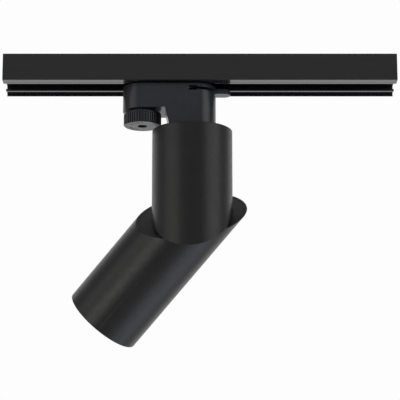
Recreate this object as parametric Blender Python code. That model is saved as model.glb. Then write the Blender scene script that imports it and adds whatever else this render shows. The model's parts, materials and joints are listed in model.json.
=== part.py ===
"""Track spotlight: a mitred two-tube head that hangs from a quarter-turn adapter in a surface track.

Run with: blender --background --python part.py
Units are metres and +Z is up. The origin is the middle of the track's top face, which is fixed to the
ceiling. Five groups move on each other: the adapter slides along the track, its locking knob turns,
its release lever rocks, the upper head pans about the vertical, and the lower head swivels about a
stud that stands square to the 45 degree cut between the two tubes.
"""

import math

import bmesh
import bpy
from mathutils import Matrix, Vector

MM = 0.001
GAP = 0.3 * MM                      # free space between neighbouring pieces

# Track, outer sizes
TRACK_LENGTH = 277 * MM
TRACK_WIDTH = 36.3 * MM
TRACK_HEIGHT = 19.4 * MM
TRACK_WALL = 1.3 * MM
SLOT_HALF = 8.3 * MM                # half the width of the slot between the lips
LIP = 1.2 * MM                      # thickness of the lips
BACK_SKIRT = 1.35 * MM              # the back wall reaches this far below the lips
SCREW_SPACING = 200 * MM            # the two ceiling screws
SCREW_HOLE = 2.25 * MM

# Head
TUBE_RADIUS = 28.25 * MM
TUBE_WALL = 1.6 * MM
RIM_BEVEL = 0.4 * MM
UPPER_LENGTH = 60.2 * MM            # joint centre to the top rim
LOWER_LENGTH = 100.2 * MM           # joint centre to the mouth of the lower tube
JOINT_GAP = 0.8 * MM                # between the two cut faces, measured square to them
PLATE = 2.5 * MM                    # thickness of the plates that close the cuts
JOINT_WASHER = 20 * MM              # radius of the friction washer between the cut faces
SQRT2 = math.sqrt(2.0)

# Adapter, from the tube axis and from the underside of the track's lips
BODY_HALF = 13.9 * MM               # half width, and the radius of both ends
BODY_RIGHT = 16.6 * MM
KNOB_X = -35.2 * MM
KNOB_LOW, KNOB_HIGH = -28.7 * MM, -19.8 * MM
KNOB_RADIUS = 13.3 * MM
KNOB_COLLAR = 9.5 * MM              # the round foot under the housing that the knob turns against
BODY_FLOOR = -18.4 * MM
NECK_FLOOR = -32.3 * MM
SHELL = 2.0 * MM
COVER_TOP = -0.8 * MM
COVER_PLATE = 1.6 * MM
PLINTH_TOP = -0.3 * MM              # the raised part of the cover that bears on the lips
PLINTH_INSET = 2.2 * MM
SPLIT = -2.55 * MM                  # parting plane between housing and cover
RIGHT_SLIT = (-5.35 * MM, -3.3 * MM)  # the open slit right of the window, along Z
WINDOW = (-2.4 * MM, 3.2 * MM)      # the window in the housing's sides, along X
WINDOW_SILL = -6.0 * MM
LEVER_X = 0.4 * MM
LEVER_Z = -4.6 * MM
LEVER_HALF = 4.8 * MM
LEVER_THICK = 1.6 * MM              # half the thickness of the lever's arm
MOUTH_LEFT = 10 * MM                # the lever's mouth is cut from here to the right
TAB_END = 27.0 * MM
TAB_TOP = 2.0 * MM                  # above the lever's axis
BARREL_HALF = 6.0 * MM              # half the length of the lever's barrel
LEVER_PIN = 1.0 * MM                # radius of the lever's pin
LEVER_BARREL = 1.9 * MM
CRADLE = (6.3 * MM, 8.3 * MM)       # the uprights that carry the lever's pin, along Y
CRADLE_HALF = 2.3 * MM              # half their width along X
SCREW_POSTS = {"left": (-19.5 * MM, -9.6 * MM), "right": (-10.5 * MM, 9.6 * MM)}
BOSS_X = (-20.5 * MM, 12.0 * MM)    # the boss that runs in the slot
BOSS_HALF = 7.7 * MM
BOSS_TOP = 6.0 * MM
ROTOR_RADIUS = 7.2 * MM             # the turret that stands in the slot
ROTOR_TOP = 13.0 * MM
SHAFT_RADIUS = 3.0 * MM

# Where the groups stand at rest
ADAPTER_X = -5.4 * MM
JOINT_Z = -112.3 * MM
PAN_REST = math.radians(-4.65)
SWIVEL_REST = math.radians(68.97)
CUT_NORMAL = Vector((0.0, math.sqrt(0.5), -math.sqrt(0.5)))   # of the cut, towards the lower head
LEVER_AXIS = Matrix.Translation((LEVER_X, 0, LEVER_Z)) @ Matrix.Rotation(math.radians(90), 4, "X")

# Lamp and holder, from the joint centre along the lower tube
HOLDER_TOP = -22 * MM
HOLDER_LOW = -37 * MM
PIN_SPACING = 10 * MM               # the lamp's two pins
PIN_RADIUS = 2.5 * MM
LAMP_FRONT = -82.4 * MM
LAMP_RADIUS = 25 * MM

STEM_RADIUS = 5.0 * MM              # M10 hollow thread, used for the pan stem and the joint stud
STEM_BORE = 3.2 * MM
STOP_RADIUS = 10.5 * MM             # where the stop pins stand
STOP_PIN = 0.9 * MM

REACH = 20 * MM                     # how far the adapter's cutters run to each side
FAR = 60 * MM                       # past the end of the adapter
BELOW = -9 * MM                     # under everything that belongs to the cover

ROUND = 48                          # facets of the large round pieces
SMALL = 24                          # facets of the small ones

FINISHES = {                        # colour, roughness, metallic
    "black_powder_coat": ((0.020, 0.020, 0.022), 0.45, 0.0),
    "black_anodised": ((0.022, 0.022, 0.024), 0.38, 0.3),
    "black_polyamide": ((0.016, 0.016, 0.019), 0.42, 0.0),
    "dark_liner": ((0.012, 0.012, 0.012), 0.55, 0.0),
    "copper": ((0.72, 0.38, 0.22), 0.32, 1.0),
    "brass": ((0.74, 0.58, 0.28), 0.30, 1.0),
    "zinc_steel": ((0.62, 0.62, 0.60), 0.34, 1.0),
    "black_steel": ((0.030, 0.030, 0.032), 0.42, 0.6),
    "spring_steel": ((0.42, 0.42, 0.43), 0.30, 1.0),
    "steatite": ((0.84, 0.82, 0.76), 0.60, 0.0),
    "lamp_white": ((0.82, 0.82, 0.80), 0.35, 0.0),
    "lamp_glass": ((0.88, 0.90, 0.90), 0.12, 0.0),
    "silicone_sleeve": ((0.70, 0.68, 0.62), 0.65, 0.0),
}


# Building blocks ---------------------------------------------------------------------------------

def clear_scene():
    """Remove every object, so that the model is the only thing in the file."""
    for obj in list(bpy.data.objects):
        bpy.data.objects.remove(obj, do_unlink=True)


def frame(name, parent=None, location=(0, 0, 0), rotation=None):
    """An empty that carries a group; rotation is a 4 x 4 matrix."""
    empty = bpy.data.objects.new(name, None)
    bpy.context.scene.collection.objects.link(empty)
    empty.parent = parent
    empty.matrix_local = Matrix.Translation(location) @ (rotation or Matrix.Identity(4))
    return empty


def finish_of(obj, finish):
    """Give an object its own Principled material."""
    colour, roughness, metallic = FINISHES[finish]
    material = bpy.data.materials.new(obj.name + "_" + finish)
    material.use_nodes = True
    shader = material.node_tree.nodes["Principled BSDF"]
    shader.inputs["Base Color"].default_value = (*colour, 1.0)
    shader.inputs["Roughness"].default_value = roughness
    shader.inputs["Metallic"].default_value = metallic
    obj.data.materials.append(material)


def place(name, bm, finish, parent, location=(0, 0, 0)):
    """Turn a bmesh into a named object; a piece with no finish is a cutter."""
    bmesh.ops.recalc_face_normals(bm, faces=bm.faces)
    mesh = bpy.data.meshes.new(name)
    bm.to_mesh(mesh)
    bm.free()
    mesh.shade_smooth()
    mesh.set_sharp_from_angle(angle=math.radians(30))
    obj = bpy.data.objects.new(name, mesh)
    bpy.context.scene.collection.objects.link(obj)
    obj.parent = parent
    obj.location = location
    if finish is None:
        obj.hide_render = True
        obj.display_type = "WIRE"
    else:
        finish_of(obj, finish)
    return obj


def turned(name, profile, finish, parent, location=(0, 0, 0), steps=SMALL, closed=True, warp=None):
    """Spin a profile of (radius, height) points round Z.

    A closed profile makes a ring. An open one starts and ends on the axis and makes a solid.
    warp moves the finished vertices, for a mitred end or a waved washer.
    """
    bm = bmesh.new()
    verts = [bm.verts.new((radius, 0.0, height)) for radius, height in profile]
    pairs = list(zip(verts, verts[1:]))
    if closed:
        pairs.append((verts[-1], verts[0]))
    edges = [bm.edges.new(pair) for pair in pairs]
    bmesh.ops.spin(bm, geom=verts + edges, cent=(0, 0, 0), axis=(0, 0, 1), angle=math.tau,
                   steps=steps, use_merge=True)
    bmesh.ops.remove_doubles(bm, verts=bm.verts, dist=0.001 * MM)
    if warp:
        for vert in bm.verts:
            vert.co.z += warp(vert.co)
    return place(name, bm, finish, parent, location)


def ring(name, inner, outer, low, high, finish, parent, location=(0, 0, 0), steps=SMALL, warp=None):
    """A plain ring, such as a washer or a bush."""
    profile = [(inner, low), (outer, low), (outer, high), (inner, high)]
    return turned(name, profile, finish, parent, location, steps, warp=warp)


def rod(name, radius, low, high, finish, parent, location=(0, 0, 0), steps=SMALL):
    """A plain round bar along Z."""
    profile = [(0, low), (radius, low), (radius, high), (0, high)]
    return turned(name, profile, finish, parent, location, steps, closed=False)


def prism(name, outline, low, high, finish, parent, location=(0, 0, 0), axis="Z"):
    """Extrude a closed outline along an axis; it is (y, z), (x, z) or (x, y) for X, Y or Z."""
    position = {"X": lambda a, b: (low, a, b), "Y": lambda a, b: (a, low, b),
                "Z": lambda a, b: (a, b, low)}[axis]
    direction = {"X": Vector((1, 0, 0)), "Y": Vector((0, 1, 0)), "Z": Vector((0, 0, 1))}[axis]
    bm = bmesh.new()
    face = bm.faces.new([bm.verts.new(position(a, b)) for a, b in outline])
    made = bmesh.ops.extrude_face_region(bm, geom=[face])["geom"]
    moved = [part for part in made if isinstance(part, bmesh.types.BMVert)]
    bmesh.ops.translate(bm, vec=direction * (high - low), verts=moved)
    return place(name, bm, finish, parent, location)


def box(name, low, high, finish, parent, location=(0, 0, 0)):
    """A block between two corners."""
    outline = [(low[0], low[1]), (high[0], low[1]), (high[0], high[1]), (low[0], high[1])]
    return prism(name, outline, low[2], high[2], finish, parent, location)


def combine(target, tool, operation="DIFFERENCE"):
    """Cut a tool out of the target, or join it on; the tool itself is left out of the model."""
    tool.hide_render = True
    tool.display_type = "WIRE"
    modifier = target.modifiers.new(operation.lower() + "_" + tool.name, "BOOLEAN")
    modifier.operation = operation
    modifier.solver = "EXACT"
    modifier.object = tool
    return target


def arc(centre, radius, start, end, steps):
    """Points on an arc in the plane, with angles in degrees."""
    points = []
    for step in range(steps + 1):
        angle = math.radians(start + (end - start) * step / steps)
        points.append((centre[0] + radius * math.cos(angle), centre[1] + radius * math.sin(angle)))
    return points


def stadium(left, right, half, steps=12):
    """The outline of a bar with round ends, between the centres of its two ends."""
    return arc((right, 0), half, -90, 90, steps) + arc((left, 0), half, 90, 270, steps)


def strip(points, thickness):
    """The outline of a thin strip that follows a line of points."""
    upper, lower = [], []
    for index, point in enumerate(points):
        before = Vector(points[max(index - 1, 0)])
        after = Vector(points[min(index + 1, len(points) - 1)])
        along = (after - before).normalized()
        across = Vector((-along.y, along.x)) * thickness / 2
        upper.append(tuple(Vector(point) + across))
        lower.append(tuple(Vector(point) - across))
    return upper + lower[::-1]


def hex_nut(name, flats, bore, low, high, finish, parent):
    """A hexagon nut, bored through."""
    corner = flats / 2 / math.cos(math.radians(30))
    nut = prism(name, arc((0, 0), corner, 0, 300, 5), low, high, finish, parent)
    return combine(nut, rod(name + "_bore", bore, low - MM, high + MM, None, parent))


def stop_washer(name, tab_angle, low, high, parent):
    """A washer keyed to the stem, with a tab that the stop pin runs against."""
    outer, tab_reach, tab_half = 8.4 * MM, 12 * MM, 0.6 * MM
    spread = math.degrees(math.asin(tab_half / outer))
    rim = arc((0, 0), outer, spread, 360 - spread, SMALL)
    outline = rim + [(tab_reach, -tab_half), (tab_reach, tab_half)]
    turn = Matrix.Rotation(tab_angle, 2)
    outline = [tuple(turn @ Vector(point)) for point in outline]
    washer = prism(name, outline, low, high, "zinc_steel", parent)
    return combine(washer, rod(name + "_bore", STEM_RADIUS + GAP, low - MM, high + MM, None, parent))


def wave(height):
    """The warp of a wave washer with three crests."""
    return lambda point: height * math.cos(3 * math.atan2(point.y, point.x))


def screw(name, head, head_height, shank, length, parent, location, flip=False):
    """A pan-head screw with a cross recess; its head points up, or down when flipped."""
    profile = [(0, -length), (shank, -length), (shank, 0), (head, 0), (head, head_height * 0.6),
               (head * 0.7, head_height), (0, head_height)]
    if flip:
        profile = [(radius, -height) for radius, height in reversed(profile)]
    return turned(name, profile, "zinc_steel", parent, location, steps=16, closed=False)


def lead(name, points, radius, parent):
    """A sleeved lead: a round tube along a smooth curve through the given points."""
    curve = bpy.data.curves.new(name, "CURVE")
    curve.dimensions = "3D"
    curve.bevel_depth = radius
    curve.bevel_resolution = 2
    curve.use_fill_caps = True
    route = smooth(points, 4)
    spline = curve.splines.new("POLY")
    spline.points.add(len(route) - 1)
    for slot, point in zip(spline.points, route):
        slot.co = (*point, 1.0)
    obj = bpy.data.objects.new(name, curve)
    bpy.context.scene.collection.objects.link(obj)
    obj.parent = parent
    finish_of(obj, "silicone_sleeve")
    return obj


def smooth(points, steps):
    """Catmull-Rom points through a short list of points."""
    knots = [Vector(point) for point in points]
    knots = [2 * knots[0] - knots[1]] + knots + [2 * knots[-1] - knots[-2]]
    route = []
    for a, b, c, d in zip(knots, knots[1:], knots[2:], knots[3:]):
        for step in range(steps):
            t = step / steps
            route.append(0.5 * (2 * b + (c - a) * t + (2 * a - 5 * b + 4 * c - d) * t * t
                                + (3 * b - a - 3 * c + d) * t ** 3))
    route.append(knots[-2])
    return route


# Track -------------------------------------------------------------------------------------------

LEDGE_LOW, LEDGE_HIGH, LEDGE_Y = 4.6 * MM, 5.4 * MM, 14.9 * MM
INSERT_INNER = 8.9 * MM


def make_track():
    """The extruded profile, its two insulating liners and the conductors in them."""
    root = frame("track_underside", location=(0, 0, -TRACK_HEIGHT))
    ends = (-TRACK_LENGTH / 2, TRACK_LENGTH / 2)
    outer = TRACK_WIDTH / 2
    inner = outer - TRACK_WALL
    web = TRACK_HEIGHT - 1.5 * MM
    rib, step, floor, ceiling = 10.9 * MM, 9.9 * MM, 2.2 * MM, 1.0 * MM

    def half(sign, lip_top):
        """The inside of one half, from the lip up to the web."""
        points = [(inner, lip_top), (inner, LEDGE_LOW), (LEDGE_Y, LEDGE_LOW), (LEDGE_Y, LEDGE_HIGH),
                  (inner, LEDGE_HIGH), (inner, web)]
        return [(sign * y, z) for y, z in points]

    front = [(-SLOT_HALF, 0), (-SLOT_HALF, LIP)] + half(-1, LIP)
    back = half(1, floor)[::-1] + [(step, floor), (step, LIP), (SLOT_HALF, LIP), (SLOT_HALF, 0),
                                   (rib, 0), (rib, ceiling), (inner, ceiling), (inner, -BACK_SKIRT)]
    skin = [(outer, -BACK_SKIRT), (outer, TRACK_HEIGHT), (-outer, TRACK_HEIGHT), (-outer, 0)]
    profile = prism("track_profile", front + back + skin, *ends, "black_anodised", root, axis="X")
    for side, x in (("left", -SCREW_SPACING / 2), ("right", SCREW_SPACING / 2)):
        combine(profile, rod("screw_hole_" + side, SCREW_HOLE, web - MM, TRACK_HEIGHT + MM, None, root,
                             (x, 0, 0), steps=16))

    back_face = inner - GAP
    low, high = LEDGE_HIGH + GAP, web - GAP
    liner = [(INSERT_INNER, low), (back_face, low), (back_face, high), (INSERT_INNER, high),
             (INSERT_INNER, 12.1 * MM), (10.2 * MM, 12.1 * MM), (10.2 * MM, 12.7 * MM),
             (13.4 * MM, 12.7 * MM), (13.4 * MM, 9.3 * MM), (10.2 * MM, 9.3 * MM),
             (10.2 * MM, 9.9 * MM), (INSERT_INNER, 9.9 * MM)]
    bar = [(11.9 * MM, 9.6 * MM), (13.1 * MM, 9.6 * MM), (13.1 * MM, 12.4 * MM), (11.9 * MM, 12.4 * MM)]
    for side, sign, pole in (("front", -1, "live"), ("back", 1, "neutral")):
        outline = [(sign * y, z) for y, z in liner]
        prism(side + "_insert", outline, *ends, "dark_liner", root, axis="X")
        outline = [(sign * y, z) for y, z in bar]
        prism(pole + "_conductor", outline, *ends, "copper", root, axis="X")


# Adapter -----------------------------------------------------------------------------------------

def housing_block(name, inset, top, finish, parent):
    """The housing's outside, or with an inset its inside: a bar with round ends, and the neck."""
    half = BODY_HALF - inset
    ends = (KNOB_X, BODY_RIGHT - BODY_HALF)
    block = prism(name, stadium(*ends, half), NECK_FLOOR + inset * 1.25, top, finish, parent)
    corner, foot = -19.0 * MM + inset, -15.5 * MM + inset
    below = NECK_FLOOR - 0.7 * MM
    wedge = [(-FAR, BODY_FLOOR + inset), (corner, BODY_FLOOR + inset), (foot, below), (-FAR, below)]
    tool = prism(name + "_relief", wedge, -REACH, REACH, None, parent, axis="Y")
    return combine(block, tool)


def make_housing(adapter):
    """The lower shell: body, neck, window, lever opening, screw posts and bores."""
    shell = housing_block("adapter_housing", 0, SPLIT - GAP / 2, "black_polyamide", adapter)
    cavity = housing_block("housing_cavity", SHELL, MM, None, adapter)
    combine(shell, cavity)
    for name, (x, y) in SCREW_POSTS.items():
        post = rod("post_" + name, 2.8 * MM, BODY_FLOOR + SHELL / 2, SPLIT - GAP / 2, None, adapter,
                   (x, y, 0), steps=16)
        combine(shell, post, "UNION")
        combine(shell, rod("pilot_" + name, 1.5 * MM, -12 * MM, MM, None, adapter, (x, y, 0), steps=16))
    window = [(WINDOW[0], WINDOW_SILL), (WINDOW[1], WINDOW_SILL), (WINDOW[1], MM), (WINDOW[0], MM)]
    combine(shell, prism("window", window, -REACH, REACH, None, adapter, axis="Y"))
    left = WINDOW[1] - MM
    step = [(left, RIGHT_SLIT[0]), (FAR, RIGHT_SLIT[0]), (FAR, MM), (left, MM)]
    combine(shell, prism("step", step, -REACH, REACH, None, adapter, axis="Y"))
    add_cradles(shell, adapter)
    mouth_low = -7.9 * MM
    combine(shell, box("lever_mouth", (MOUTH_LEFT, -LEVER_HALF - GAP, mouth_low),
                       (REACH, LEVER_HALF + GAP, MM), None, adapter))
    combine(shell, rod("stem_bore", STEM_RADIUS + GAP, NECK_FLOOR - MM, NECK_FLOOR + 4 * MM, None, adapter))
    at = (KNOB_X, 0, 0)
    low, high = KNOB_HIGH + GAP, BODY_FLOOR + MM
    combine(shell, rod("knob_collar", KNOB_COLLAR, low, high, None, adapter, at, steps=ROUND), "UNION")
    low, high = KNOB_HIGH, BODY_FLOOR + 4 * MM
    combine(shell, rod("shaft_bore", SHAFT_RADIUS + 2 * GAP, low, high, None, adapter, at))


def add_cradles(shell, adapter):
    """A bracket on each side wall that carries the lever's pin, out of sight below the window."""
    wall, low = BODY_HALF - SHELL / 2, WINDOW_SILL - GAP
    outline = [(wall, low), (CRADLE[1], low), (CRADLE[1], LEVER_Z), (CRADLE[0], LEVER_Z),
               (CRADLE[0], low - 3 * MM), (wall, low - 6 * MM)]
    for side, sign in (("front", -1), ("back", 1)):
        bracket = prism("cradle_" + side, [(sign * y, z) for y, z in outline], LEVER_X - CRADLE_HALF,
                        LEVER_X + CRADLE_HALF, None, adapter, axis="X")
        combine(shell, bracket, "UNION")
    seat = rod("pin_seat", LEVER_PIN + GAP, -CRADLE[1] - MM, CRADLE[1] + MM, None, adapter, steps=16)
    seat.matrix_local = LEVER_AXIS
    combine(shell, seat)


def make_cover(adapter):
    """The upper shell: a plate, a skirt right of the window, and the boss that runs in the slot."""
    ends = (KNOB_X, BODY_RIGHT - BODY_HALF)
    underside = COVER_TOP - COVER_PLATE
    cover = prism("adapter_cover", stadium(*ends, BODY_HALF), RIGHT_SLIT[1], COVER_TOP, "black_polyamide",
                  adapter)
    cavity = prism("cover_cavity", stadium(*ends, BODY_HALF - SHELL), BELOW, underside, None, adapter)
    combine(cover, cavity)
    combine(cover, box("cover_left", (-FAR, -REACH, BELOW), (WINDOW[1] + GAP, REACH, underside), None,
                       adapter))
    combine(cover, box("cover_mouth", (MOUTH_LEFT, -LEVER_HALF - GAP, BELOW),
                       (REACH, LEVER_HALF + GAP, underside), None, adapter))
    plinth = prism("plinth", stadium(*ends, BODY_HALF - PLINTH_INSET), COVER_TOP - MM, PLINTH_TOP, None,
                   adapter)
    combine(cover, plinth, "UNION")
    boss = box("guide_boss", (BOSS_X[0], -BOSS_HALF, COVER_TOP - MM), (BOSS_X[1], BOSS_HALF, BOSS_TOP),
               None, adapter)
    combine(cover, boss, "UNION")
    wall = SHELL * 0.75
    combine(cover, box("boss_hollow", (BOSS_X[0] + wall, wall - BOSS_HALF, BELOW),
                       (BOSS_X[1] - wall, BOSS_HALF - wall, BOSS_TOP - wall), None, adapter))
    combine(cover, rod("rotor_bore", ROTOR_RADIUS + GAP, BELOW, -BELOW, None, adapter, (KNOB_X, 0, 0)))
    seat = PLINTH_TOP - 1.4 * MM
    for name, (x, y) in SCREW_POSTS.items():
        at = (x, y, 0)
        combine(cover, rod("clearance_" + name, 1.5 * MM, BELOW, -BELOW, None, adapter, at, steps=16))
        combine(cover, rod("sink_" + name, 2.4 * MM, seat, MM, None, adapter, at, steps=16))
        screw("cover_screw_" + name, 2.1 * MM, 0.7 * MM, 1.2 * MM, 8 * MM, adapter, (x, y, seat + GAP))


def make_adapter():
    """Everything that rides along the track with the adapter."""
    adapter = frame("adapter", location=(ADAPTER_X, 0, -TRACK_HEIGHT))
    make_housing(adapter)
    make_cover(adapter)
    pin_half = CRADLE[1] + GAP
    pin = rod("lever_pin", LEVER_PIN, -pin_half, pin_half, "black_steel", adapter, steps=16)
    pin.matrix_local = LEVER_AXIS
    leaf = [(-17.5, 6.6), (-9, 6.6), (-6, 7.4), (-4.5, 10), (-3.6, 14), (-2, 16.6), (0, 17.2), (2, 16.6),
            (3.4, 14.2)]
    leaf = [(x * MM, z * MM) for x, z in leaf]
    prism("earth_contact", strip(leaf, 0.5 * MM), -2 * MM, 2 * MM, "brass", adapter, axis="Y")
    lead("adapter_lead", [(-23 * MM, 0, -9 * MM), (-17 * MM, 0, -12 * MM), (-9 * MM, 0, -14.5 * MM),
                          (-3 * MM, 0, -18 * MM), (-0.3 * MM, 0, -22 * MM), (0, 0, -27 * MM)],
         2.4 * MM, adapter)

    top = NECK_FLOOR + 2.5 * MM + GAP
    turned("pan_stem", [(STEM_BORE, -42.2 * MM), (STEM_RADIUS, -42.2 * MM), (STEM_RADIUS, -26 * MM),
                        (STEM_BORE, -26 * MM)], "zinc_steel", adapter)
    hex_nut("stem_nut", 15 * MM, STEM_RADIUS + GAP, top, top + 3 * MM, "zinc_steel", adapter)
    ring("pan_wave_washer", STEM_RADIUS + GAP, 8.4 * MM, -36.8 * MM, -36.4 * MM, "spring_steel", adapter,
         warp=wave(0.15 * MM))
    stop_washer("pan_stop_washer", math.radians(90), -38.4 * MM, -37.4 * MM, adapter)
    hex_nut("pan_nut", 15 * MM, STEM_RADIUS + GAP, -41.7 * MM, -38.7 * MM, "zinc_steel", adapter)
    return adapter


def make_rotor(adapter):
    """The knob, its shaft and the turret that locks the adapter and makes contact."""
    axis = frame("knob_axis", adapter, (KNOB_X, 0, 0))
    low, high, radius = KNOB_LOW, KNOB_HIGH, KNOB_RADIUS
    recess, socket, screw_hole = 3.25 * MM, SHAFT_RADIUS + GAP, 1.6 * MM
    turned("lock_knob", [(recess, low), (radius - 0.8 * MM, low), (radius, low + 0.8 * MM),
                         (radius, high - 0.6 * MM), (radius - 0.6 * MM, high), (socket, high),
                         (socket, high - 2.7 * MM), (screw_hole, high - 2.7 * MM),
                         (screw_hole, low + 4.2 * MM), (recess, low + 4.2 * MM)],
           "black_polyamide", axis, steps=30)
    screw("knob_screw", 2.8 * MM, 1.8 * MM, 1.2 * MM, 6 * MM, axis, (0, 0, low + 3.9 * MM), flip=True)
    shaft = rod("lock_shaft", SHAFT_RADIUS, high - 2.4 * MM, 3.7 * MM, "zinc_steel", axis)
    combine(shaft, rod("shaft_thread", 1.5 * MM, high - 4 * MM, high + 6 * MM, None, axis, steps=16))

    underside = COVER_TOP - COVER_PLATE - GAP
    rotor = turned("lock_rotor", [(0, underside - 1.8 * MM), (9.4 * MM, underside - 1.8 * MM),
                                  (9.4 * MM, underside), (ROTOR_RADIUS, underside),
                                  (ROTOR_RADIUS, ROTOR_TOP - MM), (ROTOR_RADIUS - MM, ROTOR_TOP),
                                  (0, ROTOR_TOP)], "black_polyamide", axis, closed=False)
    wing = prism("wings", stadium(-9 * MM, 9 * MM, 3.5 * MM, steps=6), 2.5 * MM, 4.3 * MM, None, axis)
    wing.rotation_euler.z = math.radians(90)
    combine(rotor, wing, "UNION")
    combine(rotor, rod("rotor_socket", socket, -9 * MM, 4 * MM, None, axis))
    for pole, sign in (("live", -1), ("neutral", 1)):
        near, far = sorted((sign * 4.5 * MM, sign * 9 * MM))
        combine(rotor, box(pole + "_pocket", (-2.1 * MM, near, 9.9 * MM), (2.1 * MM, far, 12.1 * MM), None,
                           axis))
        tip = [(sign * y * MM, z * MM) for y, z in ((4.8, 10.2), (10.9, 10.2), (11.4, 10.6), (11.4, 11.4),
                                                     (10.9, 11.8), (4.8, 11.8))]
        prism(pole + "_contact", tip, -1.8 * MM, 1.8 * MM, "brass", axis, axis="X")


def make_lever(adapter):
    """The rocking lever whose tab shows beside the body, and the spring under it."""
    axis = frame("lever_axis", adapter, (LEVER_X, 0, LEVER_Z))
    lever = prism("release_lever", arc((0, 0), LEVER_BARREL, 0, 345, 23), -BARREL_HALF, BARREL_HALF,
                  "black_polyamide", axis, axis="Y")
    reach = TAB_END - LEVER_HALF - LEVER_X
    arm = box("lever_arm", (0, -LEVER_HALF, -LEVER_THICK), (reach, LEVER_HALF, LEVER_THICK), None, axis)
    combine(lever, arm, "UNION")
    left = BODY_RIGHT + 0.6 * MM - LEVER_X
    end = arc((reach, 0), LEVER_HALF, -90, 90, 12)
    tab_outline = [(left, -LEVER_HALF)] + end + [(left, LEVER_HALF)]
    tab = prism("lever_tab", tab_outline, -LEVER_THICK, TAB_TOP, None, axis)
    combine(lever, tab, "UNION")
    bore = rod("lever_bore", LEVER_PIN + GAP, -20 * MM, 20 * MM, None, axis, steps=16)
    bore.rotation_euler.x = math.radians(90)
    combine(lever, bore)


def make_lever_spring(adapter):
    """A short coil spring between the housing's floor and the lever's arm."""
    low, high = BODY_FLOOR + SHELL + GAP + 0.35 * MM, LEVER_Z - LEVER_THICK - GAP - 0.35 * MM
    radius, turns, per_turn = 2.2 * MM, 4, 12
    curve = bpy.data.curves.new("lever_spring", "CURVE")
    curve.dimensions = "3D"
    curve.bevel_depth = 0.35 * MM
    curve.bevel_resolution = 1
    curve.use_fill_caps = True
    spline = curve.splines.new("POLY")
    count = turns * per_turn
    spline.points.add(count)
    for index, slot in enumerate(spline.points):
        angle = math.tau * index / per_turn
        height = low + (high - low) * index / count
        slot.co = (radius * math.cos(angle), radius * math.sin(angle), height, 1.0)
    spring = bpy.data.objects.new("lever_spring", curve)
    bpy.context.scene.collection.objects.link(spring)
    spring.parent = adapter
    spring.location = (9.5 * MM, 0, 0)
    finish_of(spring, "spring_steel")


# Head --------------------------------------------------------------------------------------------

def tube(name, square_end, cut_end, parent):
    """A tube with one square end and one mitred end, with eased rims."""
    outer, inner = TUBE_RADIUS, TUBE_RADIUS - TUBE_WALL
    toward = math.copysign(RIM_BEVEL, square_end - cut_end)
    middle = (square_end + cut_end) / 2
    profile = [(inner, cut_end), (outer - RIM_BEVEL / 2, cut_end), (outer, cut_end + toward / 2),
               (outer, square_end - toward), (outer - RIM_BEVEL, square_end), (inner, square_end)]

    def mitre(point):
        """Lay the vertices near the cut end into the 45 degree plane."""
        return point.y if abs(point.z - cut_end) < abs(middle - cut_end) else 0.0

    return turned(name, profile, "black_powder_coat", parent, steps=ROUND, warp=mitre)


def cut_plate(name, side, parent, plane):
    """The plate that closes a mitred end; side is +1 above the joint and -1 below it."""
    near = side * JOINT_GAP / 2 * SQRT2
    far = side * (JOINT_GAP / 2 + PLATE) * SQRT2
    rim = TUBE_RADIUS - TUBE_WALL - GAP
    plate = turned(name, [(0, near), (rim, near), (rim, far), (0, far)], "black_powder_coat", parent,
                   steps=ROUND, closed=False, warp=lambda point: point.y)
    bore = rod(name + "_bore", STEM_RADIUS + GAP, -9 * MM, 9 * MM, None, plane)
    return combine(plate, bore)


def make_upper_head(adapter):
    """The upper tube and the stud of the oblique joint."""
    pan = frame("pan_axis", location=(ADAPTER_X, 0, JOINT_Z), rotation=Matrix.Rotation(PAN_REST, 4, "Z"))
    plane = frame("upper_cut", pan, rotation=Matrix.Rotation(math.radians(45), 4, "X"))
    tube("upper_tube", UPPER_LENGTH, JOINT_GAP / 2 * SQRT2, pan)
    cap_top = UPPER_LENGTH - 0.5 * MM
    cap_low = cap_top - 2.5 * MM
    cap = ring("upper_cap", STEM_RADIUS + GAP, TUBE_RADIUS - TUBE_WALL - GAP, cap_low, cap_top,
               "black_powder_coat", pan, steps=ROUND)
    pin_at = (0, -STOP_RADIUS, 0)
    pin_bore = rod("cap_pin_bore", STOP_PIN + GAP, cap_low - MM, cap_top + MM, None, pan, pin_at, steps=16)
    combine(cap, pin_bore)
    rod("pan_stop_pin", STOP_PIN, cap_low - 4.4 * MM, cap_top - GAP, "zinc_steel", pan, pin_at, steps=16)

    cut_plate("upper_cut_plate", 1, pan, plane)
    base = JOINT_GAP / 2 + PLATE + GAP
    turned("joint_stud", [(STEM_BORE, -9.9 * MM), (STEM_RADIUS, -9.9 * MM), (STEM_RADIUS, base),
                          (8 * MM, base), (8 * MM, base + 2 * MM), (STEM_BORE, base + 2 * MM)],
           "zinc_steel", plane)
    half = JOINT_GAP / 2 - GAP
    ring("joint_washer", STEM_RADIUS + GAP, JOINT_WASHER, -half, half, "dark_liner", plane, steps=ROUND)
    top = -base
    ring("joint_wave_washer", STEM_RADIUS + GAP, 8.4 * MM, top - 0.6 * MM, top - 0.2 * MM, "spring_steel",
         plane, warp=wave(0.15 * MM))
    stop_washer("joint_stop_washer", math.radians(-90), top - 2.1 * MM, top - 1.1 * MM, plane)
    hex_nut("joint_nut", 15 * MM, STEM_RADIUS + GAP, top - 5.4 * MM, top - 2.4 * MM, "zinc_steel", plane)
    lead("upper_lead", [(0, 0, UPPER_LENGTH - 10 * MM), (0, 0, 40 * MM), (2 * MM, -2 * MM, 28 * MM),
                        (1 * MM, -9 * MM, 16 * MM), (0, -6.5 * MM, 8.5 * MM), (0, -1.5 * MM, 2.1 * MM)],
         2.4 * MM, pan)
    return pan


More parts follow.
